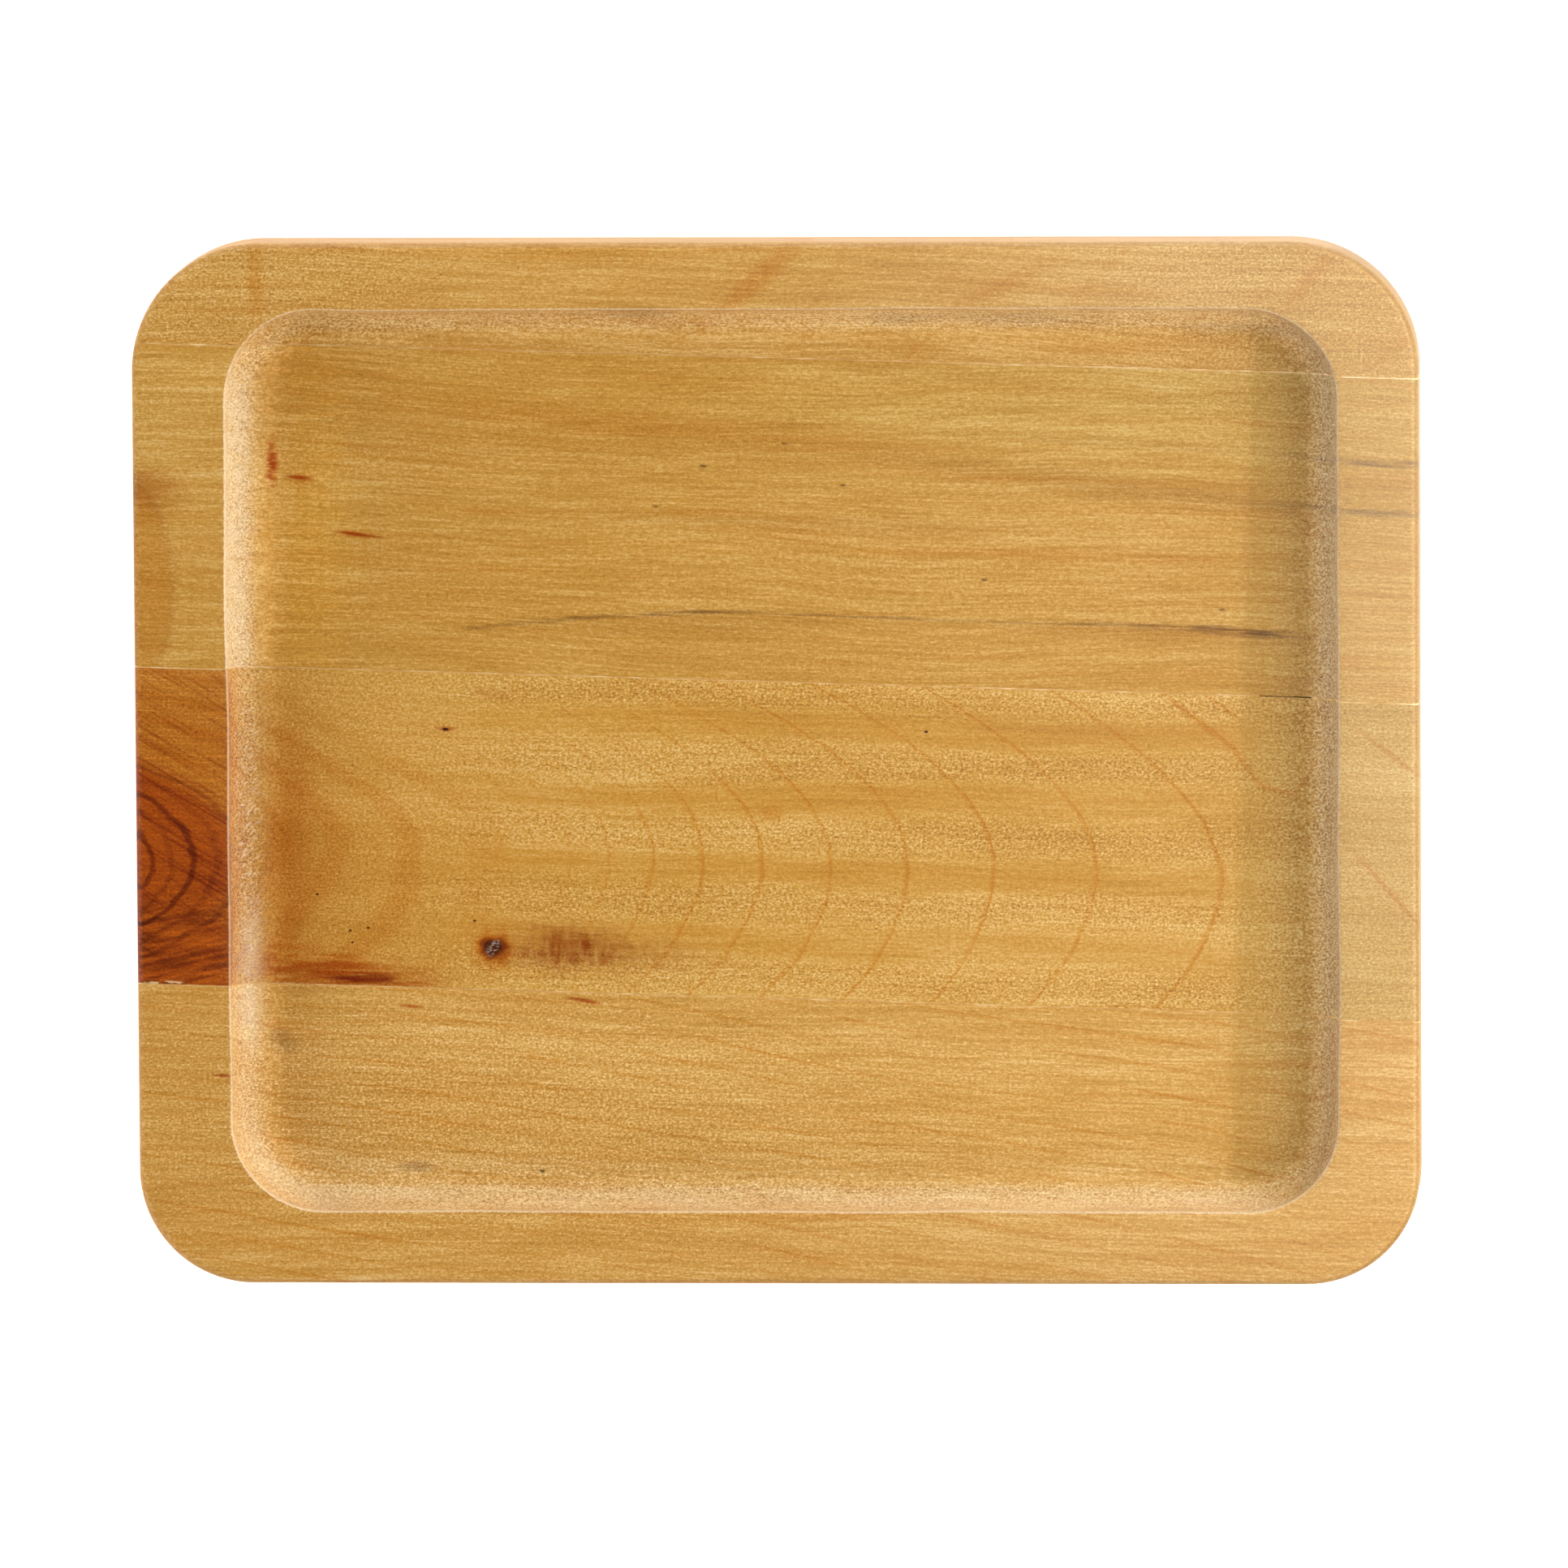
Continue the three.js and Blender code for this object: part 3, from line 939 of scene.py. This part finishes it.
def near_middle_wood():
    """Arched flat-sawn grain under curly bands, dark heartwood at one end, and a knot."""
    log = Log(
        pith_across=-26 * MM, depth=5345e-6, slope=44e-3, bend=0.06,
        young=0.1 * MM, growth=0.77, phase=0.8, warp=0.8 * MM, line=0.55,
    )
    tones = [(0.25, srgb(152, 94, 30)), (0.5, srgb(205, 155, 69)), (0.75, srgb(238, 207, 146))]
    wood = Wood("near_middle_wood", 3, log, tones)
    surface = wood.surface
    curly = surface.cloud(14 * MM, 0.8 * MM, seed=26, detail=2, bent=surface.along * 0.55)
    sway = surface.cloud(40 * MM, 18 * MM, seed=21) * (1.8 * MM)
    patchy = surface.cloud(45 * MM, 10 * MM, seed=25).rise(-1.1, 0.5) * 0.6 + 0.4
    shown = surface.along.rise(-85 * MM, -40 * MM) * surface.along.rise(112 * MM, 92 * MM)
    bands = (surface.across - BAND_PLACE + sway).wave(BAND_PITCH) * shown * patchy
    wood.mark(bands.rise(-0.1, 0.9), (0.90, 0.80, 0.60), 0.75)
    mark_left_end(wood, curly, sway, patchy)
    mark_heartwood(wood, curly)
    mark_joint_stain(wood)
    mark_knot(wood)
    mark_specks(wood)
    wood.fuzz = 1 - surface.along.rise(-92 * MM, -110 * MM) * 0.72
    combed = surface.cloud(3 * MM, 0.7 * MM, seed=33, detail=2, bent=surface.along * -0.9).rise(0.0, 0.9)
    # Painted highlight on the left cove's wall, partly in combed streaks.
    wood.painted_highlight = wood.spot(-113, -45, 3, 9, 0, 0.9) * 0.3 + wood.spot(-113, -14, 5, 28, 0, 0.7) * combed * 0.5
    lines = surface.cloud(30 * MM, 14 * MM, seed=24).rise(-1.0, 0.6) * 0.35 + 0.65
    lines = lines * surface.along.rise(103 * MM, 98 * MM) * (surface.along.rise(-80 * MM, 0) * 0.9 + 0.06)
    streaks = surface.along.rise(-120 * MM, -30 * MM) * 0.3 + 0.2
    return build_wood(wood, bands.rise(0.8, -0.9) * 0.95, streaks, lines)


def near_rim_wood():
    """Light gold, with thin growth lines that slope down to the right, and a fuzzy left half."""
    log = Log(
        pith_across=-220 * MM, depth=7225e-6, slope=42.5e-3, bend=0.0625,
        young=4.4 * MM, growth=0.01, phase=0.3, warp=1.6 * MM,
    )
    tones = [(0.25, srgb(166, 112, 42)), (0.5, srgb(203, 151, 71)), (0.75, srgb(238, 203, 138))]
    wood = Wood("near_rim_wood", 4, log, tones)
    along = wood.surface.along
    for start, end, wide in (
        ((-81.5, -56.1), (-76.5, -56.4), 0.35),
        ((-45, -53.2), (-38, -54.4), 0.45),
        ((-121, -71.6), (-117, -71.8), 0.35),
    ):
        wood.mark(wood.streak(start, end, wide, 0.6), RED_FLECK, 0.85)
    wood.mark(wood.spot(-77.1, -91.5, 3.2, 1.0, 0, 0.8), GREY, 0.6)
    wood.mark(wood.spot(-107, -64.4, 3, 2, -30, 0.9), GREY, 0.5)
    wood.mark(wood.spot(-49.5, -91.6, 0.6, 0.4, 0, 0.5), BLACK, 0.8)
    # Painted light lifting the floor of the well, which its walls shade, most at the left end.
    on_floor = wood.surface.height.rise(FLOOR_HEIGHT + 5 * MM, FLOOR_HEIGHT)
    wood.mark(on_floor, (1.03, 1.08, 1.16))
    wood.mark(on_floor * along.rise(0, -110 * MM), (1.07, 1.07, 1.12))
    wood.mark(wood.spot(0, -91, 114, 3.6, 1.7, 0.8), (1.08, 1.18, 1.50), 0.8)
    wood.fuzz = 0.8 - along.rise(-98 * MM, -110 * MM) * 0.25
    # Painted highlight on the walls at the left end of the well.
    wood.painted_highlight = wood.spot(-112.5, -57.5, 3.6, 7, 0, 0.9) * 0.35 + wood.spot(-103, -88, 12, 12, 0, 0.9) * 0.15
    fuzzy = wood.spot(-60, -80, 80, 24, 0, 0.9) * 0.9 + 0.15
    lines = wood.surface.cloud(50 * MM, 5 * MM, seed=34).rise(-0.9, 0.9) * 0.7 + 0.15
    return build_wood(wood, fuzzy, 0.8, lines)


def glue_material():
    """Cured glue with a little wood dust in it, and the same satin finish over it."""
    material = bpy.data.materials.new("cured_glue")
    material.use_nodes = True
    surface = Surface(material.node_tree, 9)
    dust = surface.cloud(5 * MM, 0.8 * MM, seed=1, detail=2)
    pale = surface.along.rise(20 * MM, 60 * MM) * surface.across.rise(80 * MM, 88 * MM)
    pale = pale + surface.along.rise(118 * MM, 124 * MM) * surface.across.rise(0, 10 * MM)
    tones = [(0.2, srgb(188, 134, 62)), (0.55, srgb(206, 158, 88)), (0.85, srgb(240, 214, 162))]
    colour = ramp(dust * 0.3 + pale * 0.15 + 0.5, tones)
    set_finish(material.node_tree, colour, dust * (0.02 * MM), dust * 0.08 + 0.5)
    return material


# ---------------------------------------------------------------- putting the tray together

def joint_line(node):
    """Where a glue line crosses the tray's middle, measured across the joints."""
    low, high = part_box(node)
    return ((low + high) / 2).dot(ACROSS)


def build_tray():
    """Parts the panel at the joints into four staves and the three films of glue between them."""
    noise.seed_set(WANDER_SEED)
    panel = panel_mesh()
    lines = [joint_line(node) for node in GLUE_LINES]
    stave_makers = [
        ("near_rim_stave", "near_rim_wood", near_rim_wood),
        ("near_middle_stave", "near_middle_wood", near_middle_wood),
        ("far_middle_stave", "far_middle_wood", far_middle_wood),
        ("far_rim_stave", "far_rim_wood", far_rim_wood),
    ]
    for index, (node, slot, make_wood) in enumerate(stave_makers):
        piece = panel.copy()
        if index > 0:
            saw(piece, lines[index - 1] + GLUE / 2, keep_far=True)
        if index < len(lines):
            saw(piece, lines[index] - GLUE / 2, keep_far=False)
        add_piece("wood_" + node, piece, make_wood(), node)
    glue = glue_material()
    for node, line in zip(GLUE_LINES, lines):
        piece = panel.copy()
        saw(piece, line - GLUE / 2, keep_far=True)
        saw(piece, line + GLUE / 2, keep_far=False)
        if node == "middle_glue_line":
            open_the_seam(piece)
        add_piece("cured_" + node, piece, glue, node)
    panel.free()


# ---------------------------------------------------------------- floor, light and camera

def build_floor():
    """A plain, pale studio table top."""
    half = 3.0
    corners = [(-half, -half, 0), (half, -half, 0), (half, half, 0), (-half, half, 0)]
    mesh = bpy.data.meshes.new("studio_floor")
    mesh.from_pydata(corners, [], [(0, 1, 2, 3)])
    floor = bpy.data.objects.new("studio_floor", mesh)
    floor.location.z = -0.1 * MM
    material = bpy.data.materials.new("studio_paper")
    material.use_nodes = True
    shader = material.node_tree.nodes["Principled BSDF"]
    shader.inputs["Base Color"].default_value = (0.93, 0.93, 0.93, 1)
    shader.inputs["Roughness"].default_value = 0.9
    shader.inputs["Specular IOR Level"].default_value = 0.1
    shader.inputs["Emission Color"].default_value = (1, 1, 1, 1)
    shader.inputs["Emission Strength"].default_value = 0.7
    mesh.materials.append(material)
    bpy.context.scene.collection.objects.link(floor)


def add_softbox(name, azimuth, elevation, distance, power):
    """A soft light on the tray from a compass direction, 0 being +X and 90 +Y."""
    turn, lift = math.radians(azimuth), math.radians(elevation)
    towards = Vector((math.cos(lift) * math.cos(turn), math.cos(lift) * math.sin(turn), math.sin(lift)))
    data = bpy.data.lights.new(name, "AREA")
    data.shape = "RECTANGLE"
    data.size = 0.9
    data.size_y = 0.5
    data.energy = power
    light = bpy.data.objects.new(name, data)
    light.location = towards * distance
    light.visible_camera = False
    light.rotation_euler = towards.to_track_quat("Z", "Y").to_euler()
    bpy.context.scene.collection.objects.link(light)


def build_light():
    """A strong key from close on the right, and low, weaker softboxes all round."""
    add_softbox("key_softbox", 0, 25, 0.8, 8.7)
    add_softbox("high_right_softbox", 0, 65, 1.2, 4.3)
    add_softbox("far_softbox", 90, 10, 1.3, 10.5)
    add_softbox("left_near_softbox", 210, 14, 1.3, 12.0)
    add_softbox("left_far_softbox", 150, 14, 1.3, 6.0)
    add_softbox("right_near_softbox", 300, 28, 1.3, 1.5)
    world = bpy.data.worlds.new("studio")
    world.use_nodes = True
    world.node_tree.nodes["Background"].inputs["Color"].default_value = (1, 1, 1, 1)
    world.node_tree.nodes["Background"].inputs["Strength"].default_value = 0.03
    bpy.context.scene.world = world
    bpy.context.scene.view_settings.view_transform = "Standard"


def build_camera():
    """A long lens from nearly straight above, leaning a little to the far right."""
    distance = 3.8
    lean_right, lean_far = math.radians(3.5), math.radians(6)
    view_width = 341.3 * MM
    sensor = 36
    aim = Vector((1.8 * MM, -4.1 * MM, RIM_HEIGHT))
    back = Vector((math.tan(lean_right), math.tan(lean_far), 1)).normalized()
    right = (Vector((1, 0, 0)) - back * back.x).normalized()
    up = back.cross(right)
    data = bpy.data.cameras.new("camera")
    data.sensor_width = sensor
    data.lens = sensor * distance / view_width
    data.clip_end = 20
    camera = bpy.data.objects.new("camera", data)
    turn = Matrix((right, up, back)).transposed().to_4x4()
    camera.matrix_world = Matrix.Translation(aim + back * distance) @ turn
    bpy.context.scene.collection.objects.link(camera)
    bpy.context.scene.camera = camera


build_camera()
build_tray()
build_floor()
build_light()
